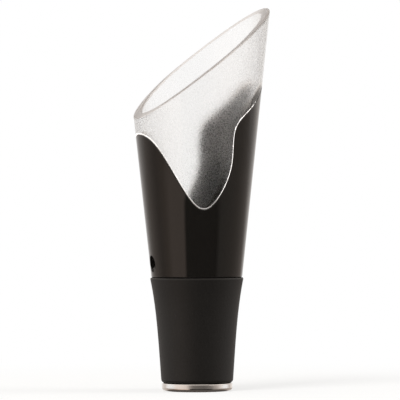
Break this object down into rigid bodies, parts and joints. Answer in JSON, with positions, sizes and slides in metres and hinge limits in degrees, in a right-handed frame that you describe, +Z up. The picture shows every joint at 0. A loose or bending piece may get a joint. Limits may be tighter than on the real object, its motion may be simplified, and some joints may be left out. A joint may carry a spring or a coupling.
{
  "type": "wine aerator pourer",
  "caption": "Pouring spout: clear slanted funnel set in a wave-edged black shell on a tapered rubber bottle stopper, with a side air hole and a metal end ring.",
  "frame": {"origin": "on the axis of the stopper, in the plane of the end ring's face on which the pourer stands", "axes": "+Z up the axis from the bottle to the lip, -X towards the low side of the lip and the air hole, +X towards the lip's high tip"},
  "size_m": [0.0321, 0.032, 0.09],
  "materials": {
    "clear_acrylic": "clear, polished outside",
    "black_gloss_plastic": "moulded gloss",
    "black_satin_plastic": "moulded satin",
    "silicone": "matte",
    "black_rubber": "moulded matte",
    "polished_steel": "polished"
  },
  "bodies": {
    "root": {"spout": "clear_acrylic", "shell": "black_gloss_plastic", "aerator_core": "black_satin_plastic", "seal_ring": "silicone", "stopper": "black_rubber", "end_ring": "polished_steel"}
  },
  "joints": []
}
